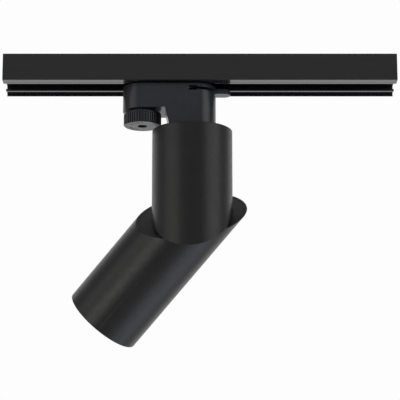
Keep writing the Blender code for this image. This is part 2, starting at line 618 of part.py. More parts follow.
def make_lower_head(pan):
    """The lower tube with the lamp and its holder."""
    swivel = frame("swivel_axis", pan, rotation=Matrix.Rotation(SWIVEL_REST, 4, CUT_NORMAL))
    plane = frame("lower_cut", swivel, rotation=Matrix.Rotation(math.radians(45), 4, "X"))
    tube("lower_tube", -LOWER_LENGTH, -JOINT_GAP / 2 * SQRT2, swivel)
    plate = cut_plate("lower_cut_plate", -1, swivel, plane)
    pin_at = (0, STOP_RADIUS, 0)
    combine(plate, rod("plate_pin_bore", STOP_PIN + GAP, -9 * MM, 9 * MM, None, plane, pin_at, steps=16))
    rod("joint_stop_pin", STOP_PIN, -6.6 * MM, -1.2 * MM, "zinc_steel", plane, pin_at, steps=16)
    make_lamp_holder(swivel)
    make_lamp(swivel)
    make_mouth(swivel)
    lead("lower_lead", [(0, 8 * MM, -8 * MM), (0, 9 * MM, -11 * MM), (0, 6 * MM, -15.5 * MM),
                        (0, 0, -18.5 * MM), (0, 0, -21.7 * MM)], 2.4 * MM, swivel)


def make_lamp_holder(swivel):
    """The plate across the tube, the ceramic holder on it and the two screws."""
    plate = ring("holder_plate", 10.6 * MM, TUBE_RADIUS - TUBE_WALL - GAP, HOLDER_LOW - 1.8 * MM,
                 HOLDER_LOW - GAP, "zinc_steel", swivel, steps=ROUND)
    holder = prism("lamp_holder", stadium(-6 * MM, 6 * MM, 9 * MM, steps=8), HOLDER_LOW, HOLDER_TOP,
                   "steatite", swivel)
    foot = box("holder_foot", (-21.6 * MM, -5 * MM, HOLDER_LOW), (21.6 * MM, 5 * MM, HOLDER_LOW + 4 * MM),
               None, swivel)
    combine(holder, foot, "UNION")
    for side, sign in (("left", -1), ("right", 1)):
        x = sign * PIN_SPACING / 2
        combine(holder, rod("pin_hole_" + side, PIN_RADIUS + GAP, HOLDER_LOW - MM, HOLDER_LOW + 8.5 * MM,
                            None, swivel, (x, 0, 0), steps=16))
        at = (sign * 18.5 * MM, 0, HOLDER_LOW + 4 * MM + GAP)
        for piece, label in ((holder, "foot_hole_"), (plate, "plate_hole_")):
            combine(piece, rod(label + side, 1.6 * MM, HOLDER_LOW - 9 * MM, HOLDER_LOW + 9 * MM, None,
                               swivel, (at[0], 0, 0), steps=16))
        screw("holder_screw_" + side, 2.8 * MM, 1.8 * MM, 1.3 * MM, 8 * MM, swivel, at)
    combine(holder, rod("lead_hole", 2.4 * MM + GAP, HOLDER_TOP - 1.5 * MM, HOLDER_TOP + MM, None, swivel,
                        steps=16))


def make_lamp(swivel):
    """A reflector lamp with a twist-and-lock base: body, front glass and two pins."""
    back = HOLDER_LOW - GAP
    front = LAMP_FRONT
    turned("lamp_body", [(0, back), (9.0 * MM, back), (9.4 * MM, back - MM), (9.4 * MM, back - 7 * MM),
                         (13 * MM, back - 12 * MM), (19 * MM, back - 22 * MM), (23.4 * MM, front + 8 * MM),
                         (LAMP_RADIUS, front + 5 * MM), (LAMP_RADIUS, front), (23.6 * MM, front),
                         (23.6 * MM, front + 3 * MM), (20 * MM, front + 9 * MM), (13 * MM, front + 18 * MM),
                         (0, front + 24 * MM)], "lamp_white", swivel, closed=False)
    glass_low, glass_high, glass_radius = front + 0.4 * MM, front + 2.2 * MM, 23.3 * MM
    turned("lamp_lens", [(0, glass_low), (glass_radius, glass_low), (glass_radius, glass_high),
                         (0, glass_high)], "lamp_glass", swivel, steps=32, closed=False)
    for side, sign in (("left", -1), ("right", 1)):
        rod("lamp_pin_" + side, PIN_RADIUS, back + GAP, back + 7 * MM, "zinc_steel", swivel,
            (sign * PIN_SPACING / 2, 0, 0), steps=16)


def make_mouth(swivel):
    """The spring ring that holds the lamp, and the black baffle in the tube's mouth."""
    inner = TUBE_RADIUS - TUBE_WALL - GAP
    ring("retaining_ring", inner - 1.6 * MM, inner, LAMP_FRONT - 1.5 * MM, LAMP_FRONT - GAP, "spring_steel",
         swivel, steps=ROUND)
    mouth = -LOWER_LENGTH + 0.8 * MM
    base = LAMP_FRONT - 1.5 * MM - GAP
    turned("antiglare_baffle", [(inner - 2.6 * MM, base), (inner, base), (inner, mouth),
                                (inner - 0.9 * MM, mouth)], "dark_liner", swivel, steps=ROUND)


def main():
    """Build the whole spotlight."""
    clear_scene()
    make_track()
    adapter = make_adapter()
    make_rotor(adapter)
    make_lever(adapter)
    make_lever_spring(adapter)
    pan = make_upper_head(adapter)
    make_lower_head(pan)


main()
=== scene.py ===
"""Studio scene of a track spotlight: fine pieces, materials, light and camera round the CAD frame."""

import json
import math

import bmesh
import bpy
from mathutils import Matrix, Vector


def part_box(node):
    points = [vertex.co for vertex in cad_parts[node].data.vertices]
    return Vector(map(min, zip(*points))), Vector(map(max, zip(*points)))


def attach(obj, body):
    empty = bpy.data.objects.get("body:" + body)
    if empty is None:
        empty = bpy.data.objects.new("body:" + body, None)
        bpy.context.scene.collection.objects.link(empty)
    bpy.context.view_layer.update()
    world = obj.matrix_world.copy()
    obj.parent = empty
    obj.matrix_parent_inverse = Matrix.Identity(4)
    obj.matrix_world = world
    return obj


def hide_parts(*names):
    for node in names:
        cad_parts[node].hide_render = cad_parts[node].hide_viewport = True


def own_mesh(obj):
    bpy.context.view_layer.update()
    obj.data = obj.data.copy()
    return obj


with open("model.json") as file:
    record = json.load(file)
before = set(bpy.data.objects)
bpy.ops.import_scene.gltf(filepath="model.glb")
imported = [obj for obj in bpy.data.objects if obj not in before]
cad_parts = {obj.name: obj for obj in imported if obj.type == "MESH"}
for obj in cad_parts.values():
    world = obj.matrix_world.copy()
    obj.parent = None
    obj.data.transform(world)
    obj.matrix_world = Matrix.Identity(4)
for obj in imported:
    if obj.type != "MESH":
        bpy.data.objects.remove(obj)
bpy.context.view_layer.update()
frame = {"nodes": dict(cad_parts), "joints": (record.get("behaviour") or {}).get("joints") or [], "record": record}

MM = 0.001
GAP = 0.3 * MM
WELD = 0.004 * MM                   # points closer than this are merged after a cut
SQRT2 = math.sqrt(2.0)
ROUND = 160                         # facets of the tubes
MEDIUM = 96                         # of the knob's collar, the baffle, the lamp and the floor
SMALL = 32                          # of bores, bars and small round pieces
FLAT_CORNER = math.radians(172)     # an outline's corner that is flatter than this isn't rounded
CORNER_SHARE = 0.45                 # the most of an edge that one rounded corner takes up
SHARP_EDGE = math.radians(38)       # edges sharper than this keep a hard line in the shading
NORMAL_WEIGHT = 60

# Places taken from the frame ----------------------------------------------------------------------

JOINTS = {joint["name"]: joint for joint in frame["joints"]}
CENTRE = Vector(JOINTS["swivel"]["pos_m"])
CUT_AXIS = Vector(JOINTS["swivel"]["axis"]).normalized()
KNOB_AXIS = Vector(JOINTS["knob_turn"]["pos_m"])
LEVER_AXIS = Vector(JOINTS["lever_rock"]["pos_m"])
TRACK_LOW, TRACK_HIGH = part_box("track_profile")
BACK_SKIRT = 1.35 * MM
UNDERSIDE = TRACK_LOW.z + BACK_SKIRT
LEVEL_CUT = Vector((0.0, math.sqrt(0.5), -math.sqrt(0.5)))    # the cut's normal in a tube's own frame


def lower_rotation():
    """The turn of the lower tube's own frame, from its axis and the cut's normal."""
    lens_low, lens_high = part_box("lamp_lens")
    along = ((lens_low + lens_high) / 2 - CENTRE).normalized()

    def basis(first, second):
        across = (second - first * second.dot(first)).normalized()
        return Matrix((first, across, first.cross(across))).transposed()

    own = basis(Vector((0.0, 0.0, -1.0)), LEVEL_CUT)
    return basis(along, CUT_AXIS) @ own.transposed()


PAN_ANGLE = math.atan2(-CUT_AXIS.x, CUT_AXIS.y)
UPPER = Matrix.Translation(CENTRE) @ Matrix.Rotation(PAN_ANGLE, 4, "Z")
LOWER = Matrix.Translation(CENTRE) @ lower_rotation().to_4x4()
OBLIQUE = Matrix.Rotation(math.radians(45), 4, "X")
ADAPTER = Matrix.Translation((CENTRE.x, 0.0, UNDERSIDE))
KNOB = Matrix.Translation((KNOB_AXIS.x, 0.0, UNDERSIDE))
LEVER = Matrix.Translation(LEVER_AXIS)
TRACK = Matrix.Translation((0.0, 0.0, UNDERSIDE))


# Shape building -----------------------------------------------------------------------------------

def rounded(points, radius, steps=3, closed=True):
    """Round the corners of an outline; a third number at a point is that corner's own radius."""
    path = []
    count = len(points)
    for index, point in enumerate(points):
        here = Vector(point[:2])
        wanted = point[2] if len(point) > 2 else radius
        ends = not closed and index in (0, count - 1)
        before = Vector(points[index - 1][:2]) - here
        after = Vector(points[(index + 1) % count][:2]) - here
        if ends or wanted == 0 or before.length < 1e-9 or after.length < 1e-9:
            path.append(tuple(here))
            continue
        corner = before.angle(after)
        if corner > FLAT_CORNER:
            path.append(tuple(here))
            continue
        reach = min(wanted / math.tan(corner / 2), CORNER_SHARE * before.length,
                    CORNER_SHARE * after.length)
        radius_here = reach * math.tan(corner / 2)
        middle = here + (before.normalized() + after.normalized()).normalized() * (
            radius_here / math.sin(corner / 2))
        start = here + before.normalized() * reach - middle
        end = here + after.normalized() * reach - middle
        turn = math.pi - corner
        if start.x * end.y - start.y * end.x < 0:
            turn = -turn
        for step in range(steps + 1):
            path.append(tuple(middle + Matrix.Rotation(turn * step / steps, 2) @ start))
    return path


def arc(centre, radius, start, end, steps):
    """Points on an arc, with angles in degrees."""
    points = []
    for step in range(steps + 1):
        angle = math.radians(start + (end - start) * step / steps)
        points.append((centre[0] + radius * math.cos(angle), centre[1] + radius * math.sin(angle)))
    return points


def stadium(left, right, half, steps=24):
    """The outline of a bar with round ends, between the centres of its two ends."""
    return arc((right, 0), half, -90, 90, steps) + arc((left, 0), half, 90, 270, steps)


def lofted(rings):
    """A closed skin through rings of equal count, with a face over each end."""
    bm = bmesh.new()
    rows = [[bm.verts.new(point) for point in ring] for ring in rings]
    count = len(rows[0])
    for low, high in zip(rows, rows[1:]):
        for index in range(count):
            after = (index + 1) % count
            bm.faces.new((low[index], low[after], high[after], high[index]))
    bm.faces.new(rows[0][::-1])
    bm.faces.new(rows[-1])
    return bm


def spun(profile, steps=MEDIUM, closed=False, warp=None):
    """Spin a profile of (radius, height) points round Z; an open one starts and ends on the axis."""
    bm = bmesh.new()
    rows = []
    for radius, height in profile:
        if radius < 1e-7:
            rows.append([bm.verts.new((0.0, 0.0, height))])
            continue
        rows.append([bm.verts.new((radius * math.cos(math.tau * step / steps),
                                   radius * math.sin(math.tau * step / steps), height))
                     for step in range(steps)])
    pairs = list(zip(rows, rows[1:]))
    if closed:
        pairs.append((rows[-1], rows[0]))
    for low, high in pairs:
        for step in range(steps):
            after = (step + 1) % steps
            corners = [low[step % len(low)], low[after % len(low)], high[after % len(high)],
                       high[step % len(high)]]
            bm.faces.new(list(dict.fromkeys(corners)))
    if warp:
        for vert in bm.verts:
            vert.co.z += warp(vert.co)
    return bm


def extruded(outline, low, high, axis="Z"):
    """Extrude a closed outline along an axis; it is (y, z), (x, z) or (x, y) for X, Y or Z."""
    spots = {"X": lambda a, b, c: (c, a, b), "Y": lambda a, b, c: (a, c, b),
             "Z": lambda a, b, c: (a, b, c)}[axis]
    return lofted([[spots(a, b, height) for a, b in outline] for height in (low, high)])


def block(low, high):
    """A cutter block between two corners."""
    outline = [(low[0], low[1]), (high[0], low[1]), (high[0], high[1]), (low[0], high[1])]
    return extruded(outline, low[2], high[2])


def rod(radius, low, high, at=(0.0, 0.0), steps=SMALL):
    """A cutter bar along Z."""
    outline = [(at[0] + x, at[1] + y) for x, y in arc((0, 0), radius, 0, 360, steps)[:-1]]
    return extruded(outline, low, high)


def made(name, bm):
    """Turn a bmesh into an object with outward normals."""
    bmesh.ops.recalc_face_normals(bm, faces=bm.faces)
    mesh = bpy.data.meshes.new(name)
    bm.to_mesh(mesh)
    bm.free()
    obj = bpy.data.objects.new(name, mesh)
    bpy.context.scene.collection.objects.link(obj)
    return obj


def shaped(obj, steps):
    """Cut or join each (operation, bmesh) in turn, weld the seams, and keep only the result."""
    for operation, bm in steps:
        tool = made("tool", bm)
        modifier = obj.modifiers.new("step", "BOOLEAN")
        modifier.operation = operation
        modifier.solver = "EXACT"
        modifier.object = tool
        settle(obj)
        bpy.data.meshes.remove(tool.data)
    bm = bmesh.new()
    bm.from_mesh(obj.data)
    bmesh.ops.remove_doubles(bm, verts=bm.verts, dist=WELD)
    bmesh.ops.dissolve_degenerate(bm, dist=WELD, edges=bm.edges)
    bm.to_mesh(obj.data)
    bm.free()
    return obj


def settle(obj):
    """Replace an object's mesh with what its modifiers make of it."""
    bpy.context.view_layer.update()
    mesh = bpy.data.meshes.new_from_object(obj.evaluated_get(bpy.context.evaluated_depsgraph_get()))
    old = obj.data
    obj.modifiers.clear()
    obj.data = mesh
    bpy.data.meshes.remove(old)
    mesh.name = obj.name


def eased(obj, width, segments=3, angle=32):
    """Round every edge that is sharper than an angle."""
    modifier = obj.modifiers.new("ease", "BEVEL")
    modifier.width = width
    modifier.segments = segments
    modifier.limit_method = "ANGLE"
    modifier.angle_limit = math.radians(angle)
    modifier.miter_outer = "MITER_ARC"
    settle(obj)
    return obj


def piece(obj, matrix, body, material, replaced=()):
    """Shade a finished mesh, put it in place and let it ride on its body."""
    mesh = obj.data
    mesh.shade_smooth()
    mesh.set_sharp_from_angle(angle=SHARP_EDGE)
    mesh.materials.clear()
    mesh.materials.append(material)
    modifier = obj.modifiers.new("normals", "WEIGHTED_NORMAL")
    modifier.keep_sharp = True
    modifier.weight = NORMAL_WEIGHT
    mesh.transform(matrix)
    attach(obj, body)
    if replaced:
        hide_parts(*replaced)
    return obj


# Materials ----------------------------------------------------------------------------------------

POINTED = (0.53, 0.62)              # pointiness at which the lighter edge starts and is full: partly worn by rubbing, partly a painted rim highlight


def set_range(node, start, end, low, high):
    """Make a Map Range node take start..end to low..high."""
    for socket, number in (("From Min", start), ("From Max", end), ("To Min", low), ("To Max", high)):
        node.inputs[socket].default_value = number


def surface(name, colours, rough, bumps=(), metallic=0.0, stretch=(1, 1, 1), patch=9.0, edge_wear_and_highlight=None,
            fixed=()):
    """A surface whose colour and roughness drift, with fine relief and lighter pointed edges, partly worn by
    rubbing and partly a painted rim highlight.

    colours and rough are (low, high) pairs, bumps are (grain, height) pairs in millimetres, stretch
    draws the pattern out along X, Y and Z, patch is the size of the slow drift in millimetres, wear
    is the colour of the lighter pointed edges, partly worn by rubbing and partly a painted rim highlight, and
    fixed holds sockets that are the same all over.
    """
    material = bpy.data.materials.new(name)
    material.use_nodes = True
    nodes, links = material.node_tree.nodes, material.node_tree.links
    shader = nodes["Principled BSDF"]
    shader.inputs["Metallic"].default_value = metallic
    for socket, value in dict(fixed).items():
        shader.inputs[socket].default_value = value
    place = nodes.new("ShaderNodeTexCoord")
    scale = nodes.new("ShaderNodeMapping")
    scale.inputs["Scale"].default_value = [1000.0 / value for value in stretch]    # metres to mm
    links.new(place.outputs["Object"], scale.inputs["Vector"])

    def noise(size, detail):
        """Noise with features of a size in millimetres."""
        node = nodes.new("ShaderNodeTexNoise")
        node.inputs["Scale"].default_value = 1.0 / size
        node.inputs["Detail"].default_value = detail
        node.inputs["Roughness"].default_value = 0.55
        links.new(scale.outputs["Vector"], node.inputs["Vector"])
        return node.outputs["Fac"]

    def ranged(value, low, high, start=0.3, end=0.7):
        """Stretch a value from start..end to low..high."""
        node = nodes.new("ShaderNodeMapRange")
        set_range(node, start, end, low, high)
        links.new(value, node.inputs["Value"])
        return node.outputs["Result"]

    def mixed(factor, low, high):
        """Mix two colours; each is a colour or another node's output."""
        node = nodes.new("ShaderNodeMix")
        node.data_type = "RGBA"
        links.new(factor, node.inputs["Factor"])
        for socket, colour in (("A", low), ("B", high)):
            target = [item for item in node.inputs if item.name == socket and item.type == "RGBA"][0]
            if isinstance(colour, bpy.types.NodeSocket):
                links.new(colour, target)
            else:
                target.default_value = (*colour, 1.0)
        return [item for item in node.outputs if item.type == "RGBA"][0]

    tint = mixed(ranged(noise(patch, 4), 0.0, 1.0), *colours)
    # Pointed edges turn lighter: partly worn by rubbing, partly a painted rim highlight.
    if edge_wear_and_highlight:
        shape = nodes.new("ShaderNodeNewGeometry")
        rubbed_and_highlit = nodes.new("ShaderNodeMath")
        rubbed_and_highlit.operation = "MULTIPLY"
        rubbed_and_highlit.use_clamp = True
        links.new(ranged(shape.outputs["Pointiness"], 0.0, 1.0, *POINTED), rubbed_and_highlit.inputs[0])
        links.new(ranged(noise(patch / 6, 5), 0.1, 1.0), rubbed_and_highlit.inputs[1])
        tint = mixed(rubbed_and_highlit.outputs["Value"], tint, edge_wear_and_highlight)
    links.new(tint, shader.inputs["Base Color"])
    links.new(ranged(noise(patch / 3, 6), *rough), shader.inputs["Roughness"])
    last = None
    for grain, height in bumps:
        bump = nodes.new("ShaderNodeBump")
        bump.inputs["Strength"].default_value = 1.0
        bump.inputs["Distance"].default_value = height * MM
        links.new(noise(grain, 2), bump.inputs["Height"])
        if last:
            links.new(last, bump.inputs["Normal"])
        last = bump.outputs["Normal"]
    if last:
        links.new(last, shader.inputs["Normal"])
    return material


def grey(value, tint=(1.0, 1.0, 1.0)):
    """A grey with a slight tint."""
    return tuple(value * part for part in tint)


BLUISH = (0.90, 0.95, 1.22)
STEELY = (1.0, 1.0, 1.4)

# The edge colours below make pointed edges lighter: partly worn by rubbing, partly a painted rim highlight.
FINISHES = {
    "track_black": surface("anodised_black", (grey(0.0094, STEELY), grey(0.0106, STEELY)),
                           (0.142, 0.158), bumps=((0.35, 0.0004),), stretch=(60, 1, 1), patch=3.5,
                           edge_wear_and_highlight=grey(0.018)),
    "head_black": surface("powder_coat_black", (grey(0.006), grey(0.010)), (0.35, 0.42),
                          bumps=((1.4, 0.060), (0.4, 0.014)), patch=11, edge_wear_and_highlight=grey(0.035)),
    "adapter_black": surface("moulded_polyamide", (grey(0.026, BLUISH), grey(0.032, BLUISH)),
                             (0.27, 0.34), bumps=((0.22, 0.004), (1.6, 0.006)), patch=7,
                             edge_wear_and_highlight=grey(0.03, BLUISH)),
    "liner_black": surface("liner_plastic", (grey(0.010), grey(0.014)), (0.48, 0.60),
                           bumps=((0.4, 0.006),), stretch=(20, 1, 1), patch=5),
    "copper": surface("rolled_copper", ((0.62, 0.30, 0.17), (0.78, 0.42, 0.26)), (0.22, 0.42),
                      bumps=((0.2, 0.003),), metallic=1.0, stretch=(60, 1, 1), patch=6),
    "brass": surface("stamped_brass", ((0.62, 0.46, 0.20), (0.78, 0.62, 0.32)), (0.22, 0.40),
                     bumps=((0.25, 0.003),), metallic=1.0, patch=3, edge_wear_and_highlight=(0.85, 0.72, 0.45)),
    "zinc_steel": surface("zinc_plated_steel", ((0.50, 0.50, 0.47), (0.66, 0.66, 0.64)), (0.26, 0.44),
                          bumps=((0.3, 0.004),), metallic=1.0, patch=2.5, edge_wear_and_highlight=(0.75, 0.75, 0.74)),
    "black_steel": surface("black_oxide_steel", (grey(0.012), grey(0.022)), (0.35, 0.5),
                           bumps=((0.2, 0.004),), patch=2),
    "spring_steel": surface("spring_steel", ((0.34, 0.34, 0.36), (0.46, 0.46, 0.47)), (0.22, 0.36),
                            bumps=((0.15, 0.002),), metallic=1.0, patch=4),
    "sleeve": surface("silicone_sleeve", ((0.60, 0.58, 0.52), (0.74, 0.72, 0.66)), (0.58, 0.72),
                      bumps=((0.35, 0.02),), patch=3),
    "ceramic_white": surface("steatite", ((0.76, 0.73, 0.66), (0.86, 0.84, 0.78)), (0.52, 0.68),
                             bumps=((0.25, 0.01), (1.2, 0.02)), patch=5),
    "lamp_white": surface("lamp_housing_white", ((0.74, 0.74, 0.72), (0.84, 0.84, 0.82)), (0.30, 0.42),
                          bumps=((0.3, 0.004),), patch=8),
    "lamp_glass": surface("front_glass", ((0.90, 0.93, 0.92), (0.97, 0.98, 0.98)), (0.03, 0.08),
                          bumps=((2.2, 0.015),), patch=6,
                          fixed=(("Transmission Weight", 1.0), ("IOR", 1.47))),
}
CUT_METAL = surface("sawn_aluminium", ((0.46, 0.46, 0.46), (0.68, 0.68, 0.68)), (0.30, 0.50),
                    bumps=((0.12, 0.006),), metallic=1.0, stretch=(1, 1, 14), patch=2)
MIRROR = surface("aluminised_reflector", ((0.82, 0.83, 0.84), (0.90, 0.90, 0.91)), (0.08, 0.16),
                 bumps=((0.6, 0.002),), metallic=1.0, patch=5)
PHOSPHOR = surface("chip_phosphor", ((0.72, 0.52, 0.07), (0.86, 0.66, 0.14)), (0.42, 0.56),
                   bumps=((0.4, 0.02),), patch=2, fixed=(("Coat Weight", 0.4),))
BLACK_BAFFLE = surface("baffle_black", (grey(0.006), grey(0.009)), (0.55, 0.70),
                       bumps=((0.3, 0.01),), patch=6)


def dress_nodes():
    """Give every CAD node that stays the finish of its slot."""
    for part in frame["record"]["subparts"]:
        node = frame["nodes"][part["node"]]
        node.data.materials.clear()
        node.data.materials.append(FINISHES[part["material_slot"]])


# Track --------------------------------------------------------------------------------------------

SLOT_HALF = 8.3 * MM
LIP = 1.2 * MM
TRACK_WALL, TRACK_WEB = 1.3 * MM, 1.5 * MM
LINE_Y = -11.6 * MM                 # the sighting line, a shallow groove along the near lip
LINE_HALF, LINE_FLOOR, LINE_DEPTH = 0.22 * MM, 0.08 * MM, 0.12 * MM
EDGE = 0.3 * MM                     # rounding of the lips; the skirt and the top have their own
LEDGE_LOW, LEDGE_HIGH, LEDGE_Y = 4.6 * MM, 5.4 * MM, 14.9 * MM
SCREW_X, SCREW_HOLE = 100 * MM, 2.25 * MM


def build_track():
    """The extruded profile with its small fillets, a sighting line on the lip and the ceiling holes."""
    outer = (TRACK_HIGH.y - TRACK_LOW.y) / 2
    inner = outer - TRACK_WALL
    height = TRACK_HIGH.z - UNDERSIDE
    web = height - TRACK_WEB
    rib, step, floor, ceiling = 10.9 * MM, 9.9 * MM, 2.2 * MM, 1.0 * MM

    def half(sign, lip_top):
        """The inside of one half, from the lip up to the web."""
        points = [(inner, lip_top), (inner, LEDGE_LOW), (LEDGE_Y, LEDGE_LOW), (LEDGE_Y, LEDGE_HIGH),
                  (inner, LEDGE_HIGH), (inner, web)]
        return [(sign * y, z) for y, z in points]

    lip = [(LINE_Y - LINE_HALF, 0, 0), (LINE_Y - LINE_FLOOR, LINE_DEPTH, 0),
           (LINE_Y + LINE_FLOOR, LINE_DEPTH, 0), (LINE_Y + LINE_HALF, 0, 0), (-SLOT_HALF, 0, EDGE),
           (-SLOT_HALF, LIP)]
    back = half(1, floor)[::-1] + [(step, floor), (step, LIP), (SLOT_HALF, LIP),
                                   (SLOT_HALF, 0, EDGE), (rib, 0), (rib, ceiling), (inner, ceiling),
                                   (inner, -BACK_SKIRT, 0.6 * MM)]
    skin = [(outer, -BACK_SKIRT, 0.6 * MM), (outer, height, 0.5 * MM), (-outer, height, 0.5 * MM),
            (-outer, 0, EDGE)]
    outline = rounded(lip + half(-1, LIP) + back + skin, 0.12 * MM, 2)
    profile = made("track_extrusion", extruded(outline, TRACK_LOW.x, TRACK_HIGH.x, "X"))
    shaped(profile, [("DIFFERENCE", rod(SCREW_HOLE, web - MM, height + MM, (side * SCREW_X, 0)))
                     for side in (-1, 1)])
    piece(profile, TRACK, "track", FINISHES["track_black"], ["track_profile"])
    profile.data.materials.append(CUT_METAL)
    for face in profile.data.polygons:
        if abs(face.normal.x) > 0.99 and abs(abs(face.center.x) - TRACK_HIGH.x) < 0.1 * MM:
            face.material_index = 1


# Adapter ------------------------------------------------------------------------------------------

BODY_HALF, BODY_RIGHT = 13.9 * MM, 16.6 * MM
KNOB_X = KNOB_AXIS.x - CENTRE.x
KNOB_RADIUS, KNOB_COLLAR = 13.3 * MM, 9.5 * MM
KNOB_LOW, KNOB_HIGH = -28.7 * MM, -19.8 * MM
BODY_FLOOR, NECK_FLOOR = -18.4 * MM, -32.3 * MM
SHELL = 2.0 * MM
COVER_TOP, COVER_PLATE = -0.8 * MM, 1.6 * MM
PLINTH_TOP, PLINTH_INSET = -0.3 * MM, 2.2 * MM
SEAM, RIGHT_SLIT = 0.1 * MM, (-5.35 * MM, -3.3 * MM)
WINDOW, WINDOW_SILL = (-2.4 * MM, 3.2 * MM), -6.0 * MM
LEVER_HALF, LEVER_THICK, LEVER_BARREL, BARREL_HALF = 4.8 * MM, 1.6 * MM, 1.9 * MM, 6.0 * MM
LEVER_PIN = 1.0 * MM
MOUTH_LEFT, MOUTH_LOW = 10 * MM, -7.9 * MM
TAB_END, TAB_TOP = 27.0 * MM, 2.0 * MM
CRADLE, CRADLE_HALF = (6.3 * MM, 8.3 * MM), 2.3 * MM
SPRING_X = 9.5 * MM
SCREW_POSTS = ((-19.5 * MM, -9.6 * MM), (-10.5 * MM, 9.6 * MM))
POST_RADIUS, POST_BORE, POST_LOW = 2.8 * MM, 1.5 * MM, -12 * MM
SCREW_HEAD, SCREW_SUNK = 2.4 * MM, 1.4 * MM
NECK_CORNER, NECK_FOOT = -19.0 * MM, -15.5 * MM    # the neck's left side, at its top and its foot
BOSS_X, BOSS_HALF, BOSS_TOP = (-20.5 * MM, 12.0 * MM), 7.7 * MM, 6.0 * MM
ROTOR_RADIUS, SHAFT_RADIUS, STEM_RADIUS = 7.2 * MM, 3.0 * MM, 5.0 * MM
FAR, REACH, BELOW = 60 * MM, 20 * MM, -9 * MM


def housing_form(inset, top):
    """The housing's outside, or with an inset its inside: a bar, and the wedge that frees the neck."""
    half = BODY_HALF - inset
    bar = extruded(stadium(KNOB_X, BODY_RIGHT - BODY_HALF, half), NECK_FLOOR + inset * 1.25, top)
    corner, foot = NECK_CORNER + inset, NECK_FOOT + inset
    below = NECK_FLOOR - 0.7 * MM
    wedge = [(-FAR, BODY_FLOOR + inset), (corner, BODY_FLOOR + inset), (foot, below), (-FAR, below)]
    return bar, extruded(wedge, -REACH, REACH, "Y")


def build_housing():
    """The lower shell with its neck, window, lever mouth and bores."""
    top = COVER_TOP - COVER_PLATE - SEAM
    bar, wedge = housing_form(0, top)
    shell = shaped(made("housing_shell", bar), [("DIFFERENCE", wedge)])
    hollow, hollow_wedge = housing_form(SHELL, MM)
    cavity = shaped(made("cavity", hollow), [("DIFFERENCE", hollow_wedge)])
    cavity_form = bmesh.new()
    cavity_form.from_mesh(cavity.data)
    bpy.data.meshes.remove(cavity.data)
    window = [(WINDOW[0], WINDOW_SILL), (WINDOW[1], WINDOW_SILL), (WINDOW[1], MM), (WINDOW[0], MM)]
    left = WINDOW[1] - MM
    step = [(left, RIGHT_SLIT[0]), (FAR, RIGHT_SLIT[0]), (FAR, MM), (left, MM)]
    steps = [("DIFFERENCE", cavity_form)]
    for at in SCREW_POSTS:
        steps.append(("UNION", rod(POST_RADIUS, BODY_FLOOR + SHELL / 2, top, at)))
        steps.append(("DIFFERENCE", rod(POST_BORE, POST_LOW, MM, at)))
    steps += [("DIFFERENCE", extruded(rounded(window, 0.3 * MM, 2), -REACH, REACH, "Y")),
              ("DIFFERENCE", extruded(step, -REACH, REACH, "Y"))]
    steps += cradles()
    mouth = LEVER_HALF + GAP
    steps += [("DIFFERENCE", block((MOUTH_LEFT, -mouth, MOUTH_LOW), (REACH, mouth, MM))),
              ("DIFFERENCE", rod(STEM_RADIUS + GAP, NECK_FLOOR - MM, NECK_FLOOR + 4 * MM)),
              ("UNION", rod(KNOB_COLLAR, KNOB_HIGH + GAP, BODY_FLOOR + MM, (KNOB_X, 0), MEDIUM)),
              ("DIFFERENCE", rod(SHAFT_RADIUS + 2 * GAP, KNOB_HIGH, BODY_FLOOR + 4 * MM, (KNOB_X, 0)))]
    shaped(shell, steps)
    eased(shell, 0.22 * MM, 2)
    piece(shell, ADAPTER, "adapter", FINISHES["adapter_black"], ["adapter_housing"])


def cradles():
    """The brackets on the side walls that carry the lever's pin."""
    wall, low = BODY_HALF - SHELL / 2, WINDOW_SILL - GAP
    pin_x, pin_z = LEVER_AXIS.x - CENTRE.x, LEVER_AXIS.z - UNDERSIDE
    outline = [(wall, low), (CRADLE[1], low), (CRADLE[1], pin_z), (CRADLE[0], pin_z),
               (CRADLE[0], low - 3 * MM), (wall, low - 6 * MM)]
    ends = (pin_x - CRADLE_HALF, pin_x + CRADLE_HALF)
    steps = [("UNION", extruded([(sign * y, z) for y, z in outline], *ends, "X")) for sign in (-1, 1)]
    circle = [(pin_x + x, pin_z + z) for x, z in arc((0, 0), LEVER_PIN + GAP, 0, 360, SMALL)[:-1]]
    return steps + [("DIFFERENCE", extruded(circle, -CRADLE[1] - MM, CRADLE[1] + MM, "Y"))]


def build_cover():
    """The upper shell: plate, skirt and the boss in the slot."""
    ends = (KNOB_X, BODY_RIGHT - BODY_HALF)
    under = COVER_TOP - COVER_PLATE
    cover = made("cover_shell", extruded(stadium(*ends, BODY_HALF), RIGHT_SLIT[1], COVER_TOP))
    wall, mouth = SHELL * 0.75, LEVER_HALF + GAP
    steps = [("DIFFERENCE", extruded(stadium(*ends, BODY_HALF - SHELL), BELOW, under)),
             ("DIFFERENCE", block((-FAR, -REACH, BELOW), (WINDOW[1] + GAP, REACH, under))),
             ("DIFFERENCE", block((MOUTH_LEFT, -mouth, BELOW), (REACH, mouth, under))),
             ("UNION", extruded(stadium(*ends, BODY_HALF - PLINTH_INSET), COVER_TOP - MM, PLINTH_TOP)),
             ("UNION", block((BOSS_X[0], -BOSS_HALF, COVER_TOP - MM),
                             (BOSS_X[1], BOSS_HALF, BOSS_TOP))),
             ("DIFFERENCE", block((BOSS_X[0] + wall, wall - BOSS_HALF, BELOW),
                                  (BOSS_X[1] - wall, BOSS_HALF - wall, BOSS_TOP - wall))),
             ("DIFFERENCE", rod(ROTOR_RADIUS + GAP, BELOW, -BELOW, (KNOB_X, 0)))]
    for at in SCREW_POSTS:
        steps.append(("DIFFERENCE", rod(POST_BORE, BELOW, -BELOW, at)))
        steps.append(("DIFFERENCE", rod(SCREW_HEAD, PLINTH_TOP - SCREW_SUNK, MM, at)))
    shaped(cover, steps)
    eased(cover, 0.18 * MM, 2)
    piece(cover, ADAPTER, "adapter", FINISHES["adapter_black"], ["adapter_cover"])


